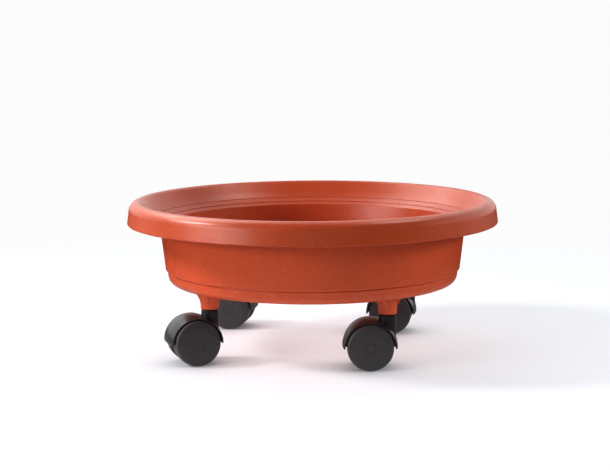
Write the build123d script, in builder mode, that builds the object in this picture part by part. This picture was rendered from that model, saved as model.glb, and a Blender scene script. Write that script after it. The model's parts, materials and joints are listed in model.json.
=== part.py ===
from build123d import *
import os

# Plant pot caddy: a round moulded tray that stands on four swivelling twin-wheel casters.
# Millimetres, +Z up.  The origin is on the ground under the tray's axis, and the four caster
# bosses stand on the tray's diagonals, so -Y is the front.

os.makedirs("parts", exist_ok=True)

# --- driving dimensions ----------------------------------------------------------------------
# the tray; heights are above the ground
tray_base = 61.5  # underside of the floor
rim_height = 136.0  # crest of the rolled rim
wall = 3.0
wall_draft = 0.118  # how far the wall leans out for each unit of height
base_radius = 130.5  # outside of the wall, level with the floor's underside
step_height = 74.8  # the wall steps out here, above a lower band
step_rise = 1.2
step_out = 1.55
step_groove_radius = 0.7  # section of the fine groove that runs under the step
seat_height = 114.6  # the inner edge where the well ends and the flare begins
flare_break_radius = 145.5  # the flare steepens here
flare_break_height = 122.5
crest_inner_radius = 155.6
crest_outer_radius = 165.0
lip_radius = 167.6
lip_height = 116.2
lip_rounding = 0.9
flare_bead_radius = 0.5  # section of the fine beads moulded round the flare
flare_bead_places = (0.36, 0.82)  # as fractions of the way up the flare's lower part

# the bosses under the tray
stem_circle_radius = 110.56
boss_bottom = 47.2
boss_radius = 7.9
boss_taper = 2.8  # degrees
boss_rounding = 0.6
boss_depth_in_floor = 1.5
gusset_height = 11.0
gusset_reach = 6.0
gusset_thickness = 2.4
gusset_bow = (0.325, 0.6)  # middle of a gusset's bowed edge, as fractions of its reach and height

# the casters
wheel_radius = 20.0
caster_offset = 15.0  # from the swivel axis back to the axle
caster_half_width = 19.0
barrel_radius = 7.6
barrel_top = 46.4
barrel_bottom = 27.0
barrel_rounding = 0.5
web_half_width = 6.0  # the web stands between the two wheels
hood_radius = 23.8  # on the middle plane
hood_edge_radius = 22.6  # the hood is crowned, so it is lower along its two edges
hood_drop = 0.8  # the hood is centred this far below the axle
hood_half_width = 16.5
hood_rounding = 0.35
wheel_clearance = 0.7  # between the top of the tread and the inside of the hood
axle_boss_radius = 6.5

# where each caster stands round the stem circle, and which way it trails at rest: both are
# directions in degrees from +X, anticlockwise seen from above
casters = {
    "front_right": (-45.0, 189.7),
    "front_left": (-135.0, 208.2),
    "back_left": (135.0, 180.2),
    "back_right": (45.0, 182.0),
}

# the steel stem, from its lower end up
journal_radius = 3.5
journal_bottom = 25.0
neck_radius = 4.6  # between the housing and the boss; its lower end is the thrust face
neck_top = 48.0
pin_radius = 5.2  # the upper end, which bears on the end of the boss's socket
pin_chamfer = 0.8
socket_radius = 5.5
grip_bottom = 50.0
grip_top = 58.0
grip_thickness = 1.0
grip_slit = 2.0
ring_bottom = 28.0
ring_thickness = 1.0
ring_groove_depth = 0.7
ring_radius = 4.7
ring_opening = 3.2

# the axle
axle_radius = 2.5
axle_half_length = 16.4
axle_chamfer = 0.4
snap_depth = 0.3  # a bead inside each wheel's hub snaps into a groove round the axle
snap_width = 1.2
snap_from_end = 2.6

# the wheels
face_thickness = 2.4
face_fall = 0.7  # the outer face falls back by this much towards the tread
face_flat_radius = 13.6
tread_thickness = 2.6
tread_edge_rounding = 2.5
hub_radius = 5.5
hub_ring_radius = 4.6
hub_ring_groove = 0.3
spoke_count = 6
spoke_thickness = 1.6
spoke_recess = 1.0  # the spokes stand this far back from the inner edge of the tread

running_gap = 0.05  # radial, between a shaft and the bore that turns on it
side_gap = 0.3  # between two faces that turn past each other
thrust_gap = 0.1  # between the stem's thrust face and the top of the housing


# --- the tray --------------------------------------------------------------------------------
def moved_right(points, distance):
    """The corners of a path moved to its right by a distance, with mitred corners."""
    corners = [Vector(*point) for point in points]
    headings = [(b - a).normalized() for a, b in zip(corners, corners[1:])]
    rights = [Vector(heading.Y, -heading.X) for heading in headings]
    moved = [corners[0] + rights[0] * distance]
    for corner, before, after in zip(corners[1:], rights, rights[1:]):
        middle = before + after
        moved.append(corner + middle * (distance / middle.dot(before)))
    moved.append(corners[-1] + rights[-1] * distance)
    return moved


def cavity_radius(height):
    """Radius of the wall's cavity side, as far as the step."""
    return base_radius - wall + wall_draft * (height - tray_base)


# The tray's cavity side, from the middle of the floor out to the lip.  Each corner is its
# radius, its height, and how much it is rounded on the cavity side and on the outside.
floor_top = tray_base + wall
step_top = step_height + step_rise
tray_corners = [
    (0.0, floor_top, 0.0, 0.0),
    (cavity_radius(floor_top), floor_top, 4.0, 7.0),
    (cavity_radius(step_height), step_height, 0.4, 0.2),
    (cavity_radius(step_top) + step_out, step_top, 0.4, 0.4),
    (cavity_radius(seat_height) + step_out, seat_height, 1.2, 0.8),
    (flare_break_radius, flare_break_height, 40.0, 43.0),
    (crest_inner_radius, rim_height, 4.0, 1.0),
    (crest_outer_radius, rim_height, 8.3, 5.3),
    (lip_radius, lip_height, lip_rounding, lip_rounding),
]
cavity_side = [(radius, height) for radius, height, _, _ in tray_corners]
outside = moved_right(cavity_side, wall)
cavity_rounding = [corner[2] for corner in tray_corners]
outside_rounding = [corner[3] for corner in tray_corners]
under_step = outside[2]
flare_foot = Vector(*cavity_side[4])
flare_break = Vector(*cavity_side[5])
flare_beads = [flare_foot + (flare_break - flare_foot) * place for place in flare_bead_places]

boss_spots = PolarLocations(stem_circle_radius, 4, start_angle=45, rotate=False)
boss_height = tray_base - boss_bottom

with BuildPart() as tray:
    with BuildSketch(Plane.XZ):
        with BuildLine():
            FilletPolyline(
                *cavity_side,
                *reversed(outside),
                radius=cavity_rounding + outside_rounding[::-1],
                close=True,
            )
        make_face()
        with Locations(*[(bead.X, bead.Y) for bead in flare_beads]):
            Circle(flare_bead_radius)
        with Locations((under_step.X, under_step.Y)):
            Circle(step_groove_radius, mode=Mode.SUBTRACT)
    revolve(axis=Axis.Z)

    # bosses that take the caster stems
    with BuildSketch(Plane.XY.offset(boss_bottom)):
        with boss_spots:
            Circle(boss_radius)
    extrude(amount=boss_height + boss_depth_in_floor, taper=-boss_taper)
    fillet(tray.faces().filter_by(Plane.XY).group_by(Axis.Z)[0].edges(), boss_rounding)

    # two gussets cross each boss, and spread out to the tray's floor
    gusset_bottom = tray_base - gusset_height
    gusset_half_top = boss_radius + gusset_reach
    gusset_middle = (
        boss_radius + gusset_reach * gusset_bow[0],
        gusset_bottom + gusset_height * gusset_bow[1],
    )
    for spot in boss_spots.locations:
        for direction in (Vector(1, 0, 0), Vector(0, 1, 0)):
            upright = Plane(origin=spot.position, x_dir=direction, z_dir=direction.cross(Vector(0, 0, 1)))
            with BuildSketch(upright):
                with BuildLine():
                    outer_edge = ThreePointArc(
                        (boss_radius, gusset_bottom),
                        gusset_middle,
                        (gusset_half_top, tray_base),
                    )
                    mirror(outer_edge, about=Plane.YZ)
                    Line((-gusset_half_top, tray_base), (gusset_half_top, tray_base))
                    Line((-boss_radius, gusset_bottom), (boss_radius, gusset_bottom))
                make_face()
            extrude(amount=gusset_thickness / 2, both=True)

    # blind sockets for the stems
    with BuildSketch(Plane.XY.offset(boss_bottom)):
        with boss_spots:
            Circle(socket_radius)
    extrude(amount=boss_height, mode=Mode.SUBTRACT)

tray.part.label = "tray"
export_step(tray.part, "parts/tray.step")


# --- planes of one caster --------------------------------------------------------------------
def ground_plane(position_angle, trail_angle):
    """Plane on the ground under a swivel axis, with its X pointing the way the caster trails."""
    spot = Vector(stem_circle_radius, 0, 0).rotate(Axis.Z, position_angle)
    trail = Vector(1, 0, 0).rotate(Axis.Z, trail_angle)
    return Plane(origin=spot, x_dir=trail, z_dir=(0, 0, 1))


def swivel_section(ground):
    """Upright plane through the swivel axis: X is the way the caster trails, Y is the height."""
    return Plane(origin=ground.origin, x_dir=ground.x_dir, z_dir=-ground.y_dir)


def axle_section(ground, side=1, height=wheel_radius):
    """Level plane through the axle: X is a radius, Y runs out along the axle to one side."""
    centre = ground.from_local_coords((caster_offset, 0, height))
    return Plane(origin=centre, x_dir=ground.x_dir * side, z_dir=ground.z_dir)


def axis_of(plane):
    """The axis that a section turns about, which is the Y direction of its plane."""
    return Axis(plane.origin, plane.y_dir)


# --- the caster's steel parts ----------------------------------------------------------------
def make_stem(ground):
    """Turned stem: a journal, a neck that bears on the housing, and a pin with a waist."""
    waist_radius = socket_radius - grip_thickness
    groove_radius = journal_radius - ring_groove_depth
    with BuildPart() as stem:
        with BuildSketch(swivel_section(ground)) as profile:
            with BuildLine():
                Polyline(
                    (0, journal_bottom),
                    (journal_radius, journal_bottom),
                    (journal_radius, ring_bottom),
                    (groove_radius, ring_bottom),
                    (groove_radius, ring_bottom + ring_thickness),
                    (journal_radius, ring_bottom + ring_thickness),
                    (journal_radius, barrel_top + thrust_gap),
                    (neck_radius, barrel_top + thrust_gap),
                    (neck_radius, neck_top),
                    (pin_radius, neck_top),
                    (pin_radius, grip_bottom),
                    (waist_radius, grip_bottom),
                    (waist_radius, grip_top),
                    (pin_radius, grip_top),
                    (pin_radius, tray_base),
                    (0, tray_base),
                    close=True,
                )
            make_face()
            rims = profile.vertices().filter_by(lambda corner: corner.X > 0).sort_by(Axis.Y)
            chamfer([rims[0], rims[-1]], pin_chamfer)
        revolve(axis=Axis(ground.origin, (0, 0, 1)))
    return stem


def make_split_ring(ground, bottom, height, inner_radius, outer_radius, opening):
    """A sprung ring round the stem, open on the side away from the axle."""
    with BuildPart() as ring:
        with BuildSketch(ground.offset(bottom)):
            Circle(outer_radius)
            Circle(inner_radius, mode=Mode.SUBTRACT)
            Rectangle(2 * outer_radius, opening, align=(Align.MAX, Align.CENTER), mode=Mode.SUBTRACT)
        extrude(amount=height)
    return ring


def make_axle(ground):
    """Straight pin with a snap groove near each end."""
    section_plane = axle_section(ground)
    groove_centre = axle_half_length - snap_from_end
    with BuildPart() as axle:
        with BuildSketch(section_plane) as profile:
            Rectangle(axle_radius, 2 * axle_half_length, align=(Align.MIN, Align.CENTER))
            chamfer(profile.vertices().sort_by(Axis.X)[-2:], axle_chamfer)
            with Locations((axle_radius, groove_centre), (axle_radius, -groove_centre)):
                Rectangle(2 * snap_depth, snap_width, mode=Mode.SUBTRACT)
        revolve(axis=axis_of(section_plane))
    return axle


# --- the caster's moulded parts --------------------------------------------------------------
def make_housing(ground):
    """Crowned hood over both wheels, with the swivel barrel and the web that holds the axle."""
    hood_height = wheel_radius - hood_drop
    hood_inside = wheel_radius + wheel_clearance + hood_drop
    across = axle_section(ground, height=hood_height)
    upright = swivel_section(ground)
    with BuildPart() as housing:
        # the hood: half a turn of a crowned section, over the upper half of the wheels
        with BuildSketch(across) as hood_section:
            with BuildLine():
                ThreePointArc(
                    (hood_edge_radius, -hood_half_width),
                    (hood_radius, 0),
                    (hood_edge_radius, hood_half_width),
                )
                Polyline(
                    (hood_edge_radius, hood_half_width),
                    (hood_inside, hood_half_width),
                    (hood_inside, -hood_half_width),
                    (hood_edge_radius, -hood_half_width),
                )
            make_face()
            fillet(hood_section.vertices().group_by(Axis.X)[-1], hood_rounding)
        revolve(axis=axis_of(across), revolution_arc=-180)
        # the middle web, which fills the hood between the wheels, and the axle's boss
        with BuildSketch(upright):
            with Locations((caster_offset, hood_height)):
                Circle((hood_inside + hood_edge_radius) / 2)
                Rectangle(2 * hood_radius, hood_radius, align=(Align.CENTER, Align.MAX), mode=Mode.SUBTRACT)
            with Locations((caster_offset, wheel_radius)):
                Circle(axle_boss_radius)
        extrude(amount=web_half_width, both=True)
        # the barrel, cut back to the hood wherever it would stand in the way of a wheel
        with BuildSketch(ground.offset(barrel_bottom)):
            Circle(barrel_radius)
        extrude(amount=barrel_top - barrel_bottom)
        fillet(housing.faces().sort_by(Axis.Z)[-1].edges(), barrel_rounding)
        for side in (1, -1):
            with BuildSketch(upright.offset(side * web_half_width)):
                with Locations((caster_offset, hood_height)):
                    Circle(hood_inside)
            extrude(amount=side * hood_half_width, mode=Mode.SUBTRACT)
        # bore and ring groove for the stem, and the axle's hole
        with BuildSketch(upright):
            with BuildLine():
                bore = journal_radius + running_gap
                groove = ring_radius + side_gap
                Polyline(
                    (0, barrel_top),
                    (bore, barrel_top),
                    (bore, ring_bottom + ring_thickness + side_gap),
                    (groove, ring_bottom + ring_thickness + side_gap),
                    (groove, ring_bottom - side_gap),
                    (bore, ring_bottom - side_gap),
                    (bore, journal_bottom - side_gap),
                    (0, journal_bottom - side_gap),
                    close=True,
                )
            make_face()
        revolve(axis=Axis(ground.origin, (0, 0, 1)), mode=Mode.SUBTRACT)
        with BuildSketch(upright):
            with Locations((caster_offset, wheel_radius)):
                Circle(axle_radius)
        extrude(amount=hood_half_width, both=True, mode=Mode.SUBTRACT)
    return housing


def make_wheel(ground, side):
    """Cup-shaped wheel: a closed outer face, a tread, and a hub tied to it by spokes."""
    section_plane = axle_section(ground, side)
    inner_end = web_half_width + side_gap
    face_edge = caster_half_width - face_fall
    face_back = caster_half_width - face_thickness
    inside_face = (face_back + face_edge) / 2  # within the face, from its centre to the tread
    bore = axle_radius + running_gap
    bore_end = axle_half_length + side_gap
    with BuildPart() as wheel:
        with BuildSketch(section_plane) as profile:
            # outer face and tread
            with BuildLine():
                Polyline(
                    (0, face_back),
                    (0, caster_half_width),
                    (face_flat_radius, caster_half_width),
                    (wheel_radius, face_edge),
                    (wheel_radius, inner_end),
                    (wheel_radius - tread_thickness, inner_end),
                    (wheel_radius - tread_thickness, face_back - face_fall),
                    (face_flat_radius, face_back),
                    close=True,
                )
            make_face()
            tread_edge = profile.vertices().sort_by_distance((wheel_radius, face_edge))[0]
            fillet(tread_edge, tread_edge_rounding)
            # hub, its blind bore and the snap bead in it
            with Locations((0, inner_end)):
                Rectangle(hub_radius, inside_face - inner_end, align=(Align.MIN, Align.MIN))
                Rectangle(bore, bore_end - inner_end, align=(Align.MIN, Align.MIN), mode=Mode.SUBTRACT)
            with Locations((bore, axle_half_length - snap_from_end)):
                Rectangle(snap_depth, snap_width / 2, align=(Align.MAX, Align.CENTER))
            # a fine ring sunk round the centre of the face
            with Locations((hub_ring_radius, caster_half_width)):
                Circle(hub_ring_groove, mode=Mode.SUBTRACT)
        revolve(axis=axis_of(section_plane))
        # spokes behind the face, from inside the hub's wall to inside the tread
        middle_plane = Plane(origin=section_plane.origin, z_dir=section_plane.y_dir)
        spoke_start = (axle_radius + hub_radius) / 2
        spoke_end = wheel_radius - tread_thickness / 2
        with BuildSketch(middle_plane.offset(inner_end + spoke_recess)):
            with PolarLocations((spoke_start + spoke_end) / 2, spoke_count):
                Rectangle(spoke_end - spoke_start, spoke_thickness)
        extrude(amount=inside_face - inner_end - spoke_recess)
    return wheel


# --- every caster ----------------------------------------------------------------------------
for corner, (position_angle, trail_angle) in casters.items():
    ground = ground_plane(position_angle, trail_angle)
    pieces = {
        "stem": make_stem(ground),
        "grip_ring": make_split_ring(
            ground,
            bottom=grip_bottom,
            height=grip_top - grip_bottom,
            inner_radius=socket_radius - grip_thickness,
            outer_radius=socket_radius,
            opening=grip_slit,
        ),
        "retaining_ring": make_split_ring(
            ground,
            bottom=ring_bottom,
            height=ring_thickness,
            inner_radius=journal_radius - ring_groove_depth,
            outer_radius=ring_radius,
            opening=ring_opening,
        ),
        "housing": make_housing(ground),
        "axle": make_axle(ground),
        "wheel_left": make_wheel(ground, 1),
        "wheel_right": make_wheel(ground, -1),
    }
    for piece_name, piece in pieces.items():
        piece.part.label = f"{corner}_{piece_name}"
        export_step(piece.part, f"parts/{corner}_{piece_name}.step")
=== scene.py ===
import json
import math

import bpy
from mathutils import Matrix, Vector


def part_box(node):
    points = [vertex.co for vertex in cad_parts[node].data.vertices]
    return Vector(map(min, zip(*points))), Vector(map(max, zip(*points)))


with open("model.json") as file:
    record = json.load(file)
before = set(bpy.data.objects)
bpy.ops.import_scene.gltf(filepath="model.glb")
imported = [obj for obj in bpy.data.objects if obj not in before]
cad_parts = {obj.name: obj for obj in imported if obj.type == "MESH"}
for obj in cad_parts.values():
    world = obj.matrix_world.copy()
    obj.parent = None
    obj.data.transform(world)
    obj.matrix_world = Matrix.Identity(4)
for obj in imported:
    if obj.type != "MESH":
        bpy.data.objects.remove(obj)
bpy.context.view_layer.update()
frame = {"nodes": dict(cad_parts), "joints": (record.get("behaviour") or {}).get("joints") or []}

# --- sizes and places, taken from the frame, in metres -------------------------------------------
CORNERS = ("front_right", "front_left", "back_left", "back_right")
SIDES = ("left", "right")
JOINTS = {joint["name"]: joint for joint in frame["joints"]}
tray_low, tray_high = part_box("tray")
tray_radius = (tray_high.x - tray_low.x) / 2
wheel_low, wheel_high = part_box("front_right_wheel_left")
wheel_radius = (wheel_high.z - wheel_low.z) / 2

# --- building materials from nodes ---------------------------------------------------------------
NOISE_LOW = 0.3  # almost all of a noise texture's values lie between these two
NOISE_HIGH = 0.7
WHITE = (1, 1, 1)
BLACK = (0, 0, 0)


class Shader:
    """One procedural material, put together from a few kinds of node."""

    def __init__(self, name):
        self.material = bpy.data.materials.new(name)
        self.material.use_nodes = True
        self.tree = self.material.node_tree
        self.surface = self.tree.nodes["Principled BSDF"]
        self.place = self.node("ShaderNodeTexCoord").outputs["Object"]

    def node(self, kind, **settings):
        """A new node of the given kind, with its settings filled in."""
        made = self.tree.nodes.new(kind)
        for name, value in settings.items():
            setattr(made, name, value)
        return made

    def feed(self, socket, value):
        """Links a node's output to a socket, or sets the socket to a plain value."""
        if isinstance(value, bpy.types.NodeSocket):
            self.tree.links.new(value, socket)
        elif socket.type == "RGBA" and len(value) == 3:
            socket.default_value = (*value, 1.0)
        else:
            socket.default_value = value

    def noise(self, size, detail=2.0, roughness=0.5, stretch=(1, 1, 1)):
        """Noise whose features are about size metres across."""
        spread = self.node("ShaderNodeMapping")
        self.feed(spread.inputs["Vector"], self.place)
        spread.inputs["Scale"].default_value = [share / size for share in stretch]
        made = self.node("ShaderNodeTexNoise")
        self.feed(made.inputs["Vector"], spread.outputs["Vector"])
        made.inputs["Scale"].default_value = 1.0
        made.inputs["Detail"].default_value = detail
        made.inputs["Roughness"].default_value = roughness
        return made.outputs["Fac"]

    def remap(self, value, low, high, to_low=0.0, to_high=1.0):
        """Stretches low to high over to_low to to_high, and holds the ends beyond them."""
        made = self.node("ShaderNodeMapRange", clamp=True)
        for socket, number in zip(made.inputs, (value, low, high, to_low, to_high)):
            self.feed(socket, number)
        return made.outputs["Result"]

    def patches(self, size, low=0.0, high=1.0, detail=2.0):
        """Soft patches whose values run from low to high."""
        return self.remap(self.noise(size, detail), NOISE_LOW, NOISE_HIGH, low, high)

    def math(self, operation, first, second=0.0):
        """The value of a sum, product or other operation on two numbers."""
        made = self.node("ShaderNodeMath", operation=operation)
        self.feed(made.inputs[0], first)
        self.feed(made.inputs[1], second)
        return made.outputs["Value"]

    def vector_math(self, operation, first, second=(0, 0, 0)):
        """Both outputs of a vector operation, since its result can be a vector or a number."""
        made = self.node("ShaderNodeVectorMath", operation=operation)
        self.feed(made.inputs[0], first)
        self.feed(made.inputs[1], second)
        return made.outputs

    def times(self, first, second):
        return self.math("MULTIPLY", first, second)

    def plus(self, first, second):
        return self.math("ADD", first, second)

    def mix(self, share, first, second):
        """The first color where share is 0, and the second where it is 1."""
        made = self.node("ShaderNodeMix", data_type="RGBA")
        self.feed(made.inputs["Factor"], share)
        self.feed(made.inputs["A"], first)
        self.feed(made.inputs["B"], second)
        return made.outputs["Result"]

    def distance_from_axis(self, point, axis):
        """How far each spot lies from a line through a point of the frame."""
        offset = self.vector_math("SUBTRACT", self.place, point)["Vector"]
        across = self.vector_math("CROSS_PRODUCT", offset, axis)["Vector"]
        return self.vector_math("LENGTH", across)["Value"]

    def wear_and_edge_highlight(self, starts, full, patch_size, strength):
        """The share of rubbed wear and painted edge highlight: strongest on outer edges, and broken up
        into patches.
        """
        pointed = self.node("ShaderNodeNewGeometry").outputs["Pointiness"]
        worn = self.remap(pointed, starts, full)
        broken = self.remap(self.noise(patch_size), low=0.39, high=0.61)
        return self.times(self.times(worn, broken), strength)

    def bump(self, height, depth, below=None):
        """A normal for relief of depth metres, on top of the relief below it."""
        made = self.node("ShaderNodeBump")
        made.inputs["Distance"].default_value = depth
        self.feed(made.inputs["Height"], height)
        if below is not None:
            self.feed(made.inputs["Normal"], below)
        return made.outputs["Normal"]

    def finish(self, color, roughness, normal=None, metallic=0.0, specular=0.5):
        """Connects everything to the surface, and hands over the finished material."""
        self.feed(self.surface.inputs["Base Color"], color)
        self.feed(self.surface.inputs["Roughness"], roughness)
        self.feed(self.surface.inputs["Metallic"], metallic)
        self.feed(self.surface.inputs["Specular IOR Level"], specular)
        if normal is not None:
            self.feed(self.surface.inputs["Normal"], normal)
        return self.material


# --- the materials -------------------------------------------------------------------------------
TURNING_PITCH = 0.0011  # between the faint turned rings on a wheel's face
TREAD_START = wheel_radius - 0.0012  # the tread's wear begins this far from the axle
TREAD_FADE = 0.0008


def terracotta_plastic():
    """Moulded tray plastic: speckled terracotta, satin, with paler edges that are partly rubbed wear and
    partly a painted highlight.
    """
    deep = (0.50, 0.082, 0.028)
    warm = (0.58, 0.098, 0.035)
    dark_speck = (0.31, 0.045, 0.015)
    light_speck = (0.70, 0.150, 0.065)
    # paler edge colour: partly rubbed wear, partly a painted highlight along the edges
    rubbed_and_lit = (0.80, 0.27, 0.15)
    shader = Shader("terracotta_plastic")
    speckle = shader.noise(size=0.0011)
    dark_share = shader.remap(speckle, low=0.42, high=0.72, to_high=0.40)
    light_share = shader.remap(speckle, low=0.28, high=0.45, to_low=0.30, to_high=0.0)
    # share of the paler edge colour: partly rubbed wear, partly a painted edge highlight
    wear_and_highlight_share = shader.wear_and_edge_highlight(starts=0.53, full=0.62, patch_size=0.012, strength=0.35)
    color = shader.mix(shader.patches(size=0.06, detail=3), deep, warm)
    color = shader.mix(dark_share, color, dark_speck)
    color = shader.mix(light_share, color, light_speck)
    color = shader.mix(wear_and_highlight_share, color, rubbed_and_lit)
    speck_rough = shader.remap(speckle, NOISE_LOW, NOISE_HIGH, to_high=0.05)
    rough = shader.plus(shader.patches(size=0.02, low=0.27, high=0.34, detail=4), speck_rough)
    grain = shader.bump(shader.noise(size=0.0007), depth=0.00008)
    return shader.finish(color, rough, grain)


def hood_plastic():
    """Moulded caster housings: black with a fine grain, greyer on the edges, partly from rubbed wear and
    partly as a painted highlight.
    """
    black = (0.013, 0.012, 0.013)
    charcoal = (0.026, 0.024, 0.026)
    # greyer edge colour: partly rubbed wear, partly a painted highlight along the edges
    rubbed_and_lit = (0.10, 0.095, 0.095)
    shader = Shader("black_plastic")
    speckle = shader.noise(size=0.0008)
    # share of the greyer edge colour: partly rubbed wear, partly a painted edge highlight
    wear_and_highlight_share = shader.wear_and_edge_highlight(starts=0.52, full=0.60, patch_size=0.006, strength=0.5)
    color = shader.mix(shader.remap(speckle, low=0.35, high=0.7), black, charcoal)
    color = shader.mix(wear_and_highlight_share, color, rubbed_and_lit)
    rough = shader.patches(size=0.01, low=0.26, high=0.38, detail=4)
    return shader.finish(color, rough, shader.bump(speckle, depth=0.00004))


def wheel_plastic(corner, side):
    """One wheel: faint turned rings on its face, and a tread scuffed by the floor."""
    black = (0.036, 0.033, 0.036)
    charcoal = (0.055, 0.050, 0.054)
    ring = (0.088, 0.083, 0.086)
    scuffed = (0.115, 0.105, 0.100)
    scuffed_roughness = 0.22  # what the scuffs add
    joint = JOINTS[f"{corner}_{side}_wheel_spin"]
    shader = Shader(f"{corner}_wheel_{side}_plastic")
    radius = shader.distance_from_axis(joint["pos_m"], joint["axis"])
    turned = shader.math("SINE", shader.times(radius, 2 * math.pi / TURNING_PITCH))
    on_tread = shader.remap(radius, TREAD_START, TREAD_START + TREAD_FADE)
    speckle = shader.noise(size=0.0008)
    scrapes = shader.noise(size=0.0025, detail=5, roughness=0.7)
    scuffs = shader.remap(scrapes, low=0.42, high=0.62, to_low=0.15, to_high=0.75)
    color = shader.mix(shader.remap(speckle, low=0.35, high=0.7), black, charcoal)
    color = shader.mix(shader.remap(turned, low=-1, high=1, to_high=0.10), color, ring)
    color = shader.mix(shader.times(on_tread, scuffs), color, scuffed)
    smooth = shader.patches(size=0.01, low=0.36, high=0.46, detail=4)
    rough = shader.plus(smooth, shader.times(on_tread, scuffed_roughness))
    rings = shader.bump(turned, depth=0.000012)
    return shader.finish(color, rough, shader.bump(speckle, depth=0.00005, below=rings))


def steel(name, dark, light, low_rough, high_rough):
    """Plated, blackened or blued steel, clouded and finely scratched."""
    shader = Shader(name)
    cloud = shader.noise(size=0.004, detail=4)
    scratches = shader.noise(size=0.0006, detail=3, stretch=(1, 1, 0.05))
    rough = shader.remap(cloud, NOISE_LOW, NOISE_HIGH, low_rough, high_rough)
    color = shader.mix(cloud, dark, light)
    return shader.finish(color, rough, shader.bump(scratches, depth=0.00002), metallic=1.0)


def plated_steel():
    return steel("plated_steel", (0.50, 0.50, 0.50), (0.70, 0.69, 0.67), low_rough=0.25, high_rough=0.40)


def blackened_steel():
    dark = (0.020, 0.020, 0.022)
    light = (0.050, 0.048, 0.046)
    return steel("blackened_steel", dark, light, low_rough=0.40, high_rough=0.55)


def spring_steel():
    return steel("spring_steel", (0.16, 0.17, 0.20), (0.30, 0.31, 0.33), low_rough=0.28, high_rough=0.42)


def dress(node, material):
    """Gives one CAD node its material."""
    mesh = frame["nodes"][node].data
    mesh.materials.clear()
    mesh.materials.append(material)


def dress_casters():
    hood = hood_plastic()
    plated = plated_steel()
    blackened = blackened_steel()
    blued = spring_steel()
    for corner in CORNERS:
        dress(f"{corner}_housing", hood)
        dress(f"{corner}_stem", blackened)
        dress(f"{corner}_axle", plated)
        dress(f"{corner}_grip_ring", blued)
        dress(f"{corner}_retaining_ring", blued)
        for side in SIDES:
            dress(f"{corner}_wheel_{side}", wheel_plastic(corner, side))


# --- the floor -----------------------------------------------------------------------------------
FLOOR_HALF = 36 * tray_radius
# how far from the middle the floor stops lighting the tray, and turns into the backdrop
UNLIT_START = tray_radius
UNLIT_END = 2.4 * tray_radius
BACKDROP_START = 1.8 * tray_radius
BACKDROP_END = 4.5 * tray_radius
UNDERSIDE_LIGHT = 1.0  # what the floor adds to the tray's lower surfaces
SHADOW_LIGHT = 0.5  # what it adds to its own shadows, as the camera sees them
SHADOW_TINT = (0.97, 1.0, 1.03)
BACKDROP_SEEN = 0.98  # how bright the backdrop looks
CONTACT_REACH = 2 * wheel_radius  # the wheels darken the floor within this distance
CONTACT_LIGHT = 0.2  # share of the shadow light that is left where a wheel touches the floor
CLOSED_IN = 0.25  # the open share of the sky at which that is reached
WIDE_OPEN = 0.95  # the open share at which all the shadow light is there


def floor_paper():
    """Pale paper near the tray, and an even white light away from it."""
    cool = (0.50, 0.505, 0.535)
    pale = (0.515, 0.52, 0.55)
    shader = Shader("floor_paper")
    away = shader.vector_math("LENGTH", shader.place)["Value"]
    unlit = shader.remap(away, UNLIT_START, UNLIT_END)
    backdrop = shader.remap(away, BACKDROP_START, BACKDROP_END)
    rays = shader.node("ShaderNodeLightPath").outputs
    seen = rays["Is Camera Ray"]

    paper = shader.mix(shader.patches(size=0.5), cool, pale)
    for_the_tray = shader.mix(unlit, paper, BLACK)
    for_the_camera = shader.mix(backdrop, paper, BLACK)
    color = shader.mix(seen, for_the_tray, for_the_camera)

    sky = shader.node("ShaderNodeAmbientOcclusion", samples=8)
    sky.inputs["Distance"].default_value = CONTACT_REACH
    contact = shader.remap(sky.outputs["AO"], CLOSED_IN, WIDE_OPEN, CONTACT_LIGHT, 1.0)
    own_light = shader.remap(backdrop, 0, 1, SHADOW_LIGHT, BACKDROP_SEEN)
    own_light = shader.times(shader.times(seen, own_light), contact)
    tray_light = shader.times(rays["Is Diffuse Ray"], shader.remap(unlit, 0, 1, UNDERSIDE_LIGHT, 0))
    tint = shader.mix(backdrop, SHADOW_TINT, WHITE)
    shader.feed(shader.surface.inputs["Emission Color"], tint)
    shader.feed(shader.surface.inputs["Emission Strength"], shader.plus(own_light, tray_light))
    return shader.finish(color, roughness=0.9, specular=0.0)


def make_floor():
    half = FLOOR_HALF
    corners = [(-half, -half, 0), (half, -half, 0), (half, half, 0), (-half, half, 0)]
    mesh = bpy.data.meshes.new("floor")
    mesh.from_pydata(corners, [], [(0, 1, 2, 3)])
    mesh.materials.append(floor_paper())
    floor = bpy.data.objects.new("floor", mesh)
    bpy.context.scene.collection.objects.link(floor)


# --- light ---------------------------------------------------------------------------------------
VIEW_AZIMUTH = math.radians(9.66)  # the camera stands this far round from the front
LIGHT_DISTANCE = 1.6
ROOM_LIGHT = 0.03
BACKDROP_LIGHT = 1.3
BACKDROP_SIDE = -0.2  # the world brightens between these two, as cosines of the angle
BACKDROP_MIDDLE = 0.7  # away from straight behind the object


def area_light(name, size, power, azimuth, elevation, diffuse=True, shine=True):
    """A softbox facing the object: size in metres, power in watts and angles in degrees.

    The azimuth starts at the camera's side of the object and grows towards the camera's right.
    """
    lamp = bpy.data.lights.new(name, "AREA")
    lamp.shape = "RECTANGLE"
    lamp.size, lamp.size_y = size
    lamp.energy = power
    light = bpy.data.objects.new(name, lamp)
    bpy.context.scene.collection.objects.link(light)
    turn = math.radians(azimuth) + VIEW_AZIMUTH
    lift = math.radians(elevation)
    level = Vector((math.sin(turn), -math.cos(turn), 0))
    away = level * math.cos(lift) + Vector((0, 0, math.sin(lift)))
    light.location = Vector((0, 0, tray_high.z / 2)) + away * LIGHT_DISTANCE
    light.rotation_euler = (-away).to_track_quat("-Z", "Y").to_euler()
    light.visible_diffuse = diffuse
    light.visible_glossy = shine


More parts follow.
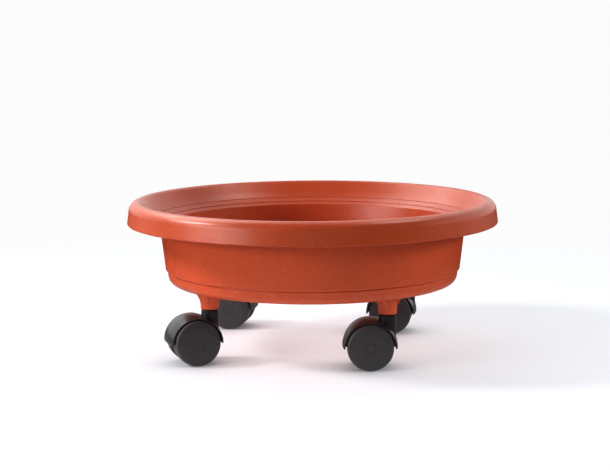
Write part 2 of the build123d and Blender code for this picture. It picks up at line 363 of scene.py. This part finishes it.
def make_lights():
    """Soft light from the left, low light from the front and right, and two that only shine."""
    area_light("key", size=(0.3, 0.3), power=17, azimuth=-85, elevation=36)
    area_light("left_low", size=(1.0, 0.3), power=13, azimuth=-58, elevation=14)
    area_light("left_shine", size=(1.1, 0.9), power=14.5, azimuth=-130, elevation=48, diffuse=False)
    area_light("right_shine", size=(0.4, 0.3), power=5, azimuth=104, elevation=62, diffuse=False)
    area_light("front_low", size=(1.2, 0.15), power=5.5, azimuth=-5, elevation=3.5, shine=False)
    area_light("right_low", size=(0.8, 0.4), power=14, azimuth=85, elevation=19, shine=False)


def background(tree, strength):
    made = tree.nodes.new("ShaderNodeBackground")
    made.inputs["Color"].default_value = (*WHITE, 1.0)
    made.inputs["Strength"].default_value = strength
    return made


def make_world():
    """A dim room with a white backdrop behind the object, as the camera looks at it."""
    world = bpy.data.worlds.new("studio")
    world.use_nodes = True
    tree = world.node_tree
    nodes = tree.nodes
    links = tree.links
    behind = nodes.new("ShaderNodeVectorMath")
    behind.operation = "DOT_PRODUCT"
    behind.inputs[1].default_value = (-math.sin(VIEW_AZIMUTH), math.cos(VIEW_AZIMUTH), 0)
    links.new(nodes.new("ShaderNodeTexCoord").outputs["Generated"], behind.inputs[0])
    fade = nodes.new("ShaderNodeMapRange")
    fade.interpolation_type = "SMOOTHSTEP"
    links.new(behind.outputs["Value"], fade.inputs["Value"])
    fade.inputs["From Min"].default_value = BACKDROP_SIDE
    fade.inputs["From Max"].default_value = BACKDROP_MIDDLE
    fade.inputs["To Min"].default_value = ROOM_LIGHT
    fade.inputs["To Max"].default_value = BACKDROP_LIGHT
    lit = background(tree, strength=1.0)
    links.new(fade.outputs["Result"], lit.inputs["Strength"])
    seen = background(tree, strength=BACKDROP_SEEN)
    join = nodes.new("ShaderNodeMixShader")
    links.new(nodes.new("ShaderNodeLightPath").outputs["Is Camera Ray"], join.inputs["Fac"])
    links.new(lit.outputs["Background"], join.inputs[1])
    links.new(seen.outputs["Background"], join.inputs[2])
    links.new(join.outputs["Shader"], nodes["World Output"].inputs["Surface"])
    bpy.context.scene.world = world


# --- camera --------------------------------------------------------------------------------------
CAMERA_DISTANCE = 1.3961  # along the floor, from the tray's axis
CAMERA_HEIGHT = 0.29957
CAMERA_PITCH = math.radians(8.03)
CAMERA_YAW = math.radians(-0.28)
CAMERA_ROLL = math.radians(0.35)
CAMERA_LENS = 91.35  # focal length and sensor width, in millimetres
SENSOR_WIDTH = 36.0
VIEW_GAMMA = 0.85


def make_camera():
    """The camera looks down at the tray a little, and is turned and rolled very slightly."""
    to_part = Matrix.Rotation(VIEW_AZIMUTH, 3, "Z")
    level = Vector((math.sin(CAMERA_YAW), math.cos(CAMERA_YAW), 0)) * math.cos(CAMERA_PITCH)
    ahead = level - Vector((0, 0, math.sin(CAMERA_PITCH)))
    right = Vector((math.cos(CAMERA_YAW), -math.sin(CAMERA_YAW), 0))
    up = right.cross(ahead)
    rolled_right = right * math.cos(CAMERA_ROLL) - up * math.sin(CAMERA_ROLL)
    rolled_up = right * math.sin(CAMERA_ROLL) + up * math.cos(CAMERA_ROLL)
    axes = Matrix((to_part @ rolled_right, to_part @ rolled_up, to_part @ -ahead)).transposed()
    place = to_part @ Vector((0, -CAMERA_DISTANCE, CAMERA_HEIGHT))
    lens = bpy.data.cameras.new("camera")
    lens.lens = CAMERA_LENS
    lens.sensor_width = SENSOR_WIDTH
    camera = bpy.data.objects.new("camera", lens)
    camera.matrix_world = Matrix.Translation(place) @ axes.to_4x4()
    bpy.context.scene.collection.objects.link(camera)
    bpy.context.scene.camera = camera


# --- the scene -----------------------------------------------------------------------------------
dress("tray", terracotta_plastic())
dress_casters()
make_floor()
make_world()
make_lights()
make_camera()
bpy.context.scene.view_settings.view_transform = "Standard"
bpy.context.scene.view_settings.gamma = VIEW_GAMMA
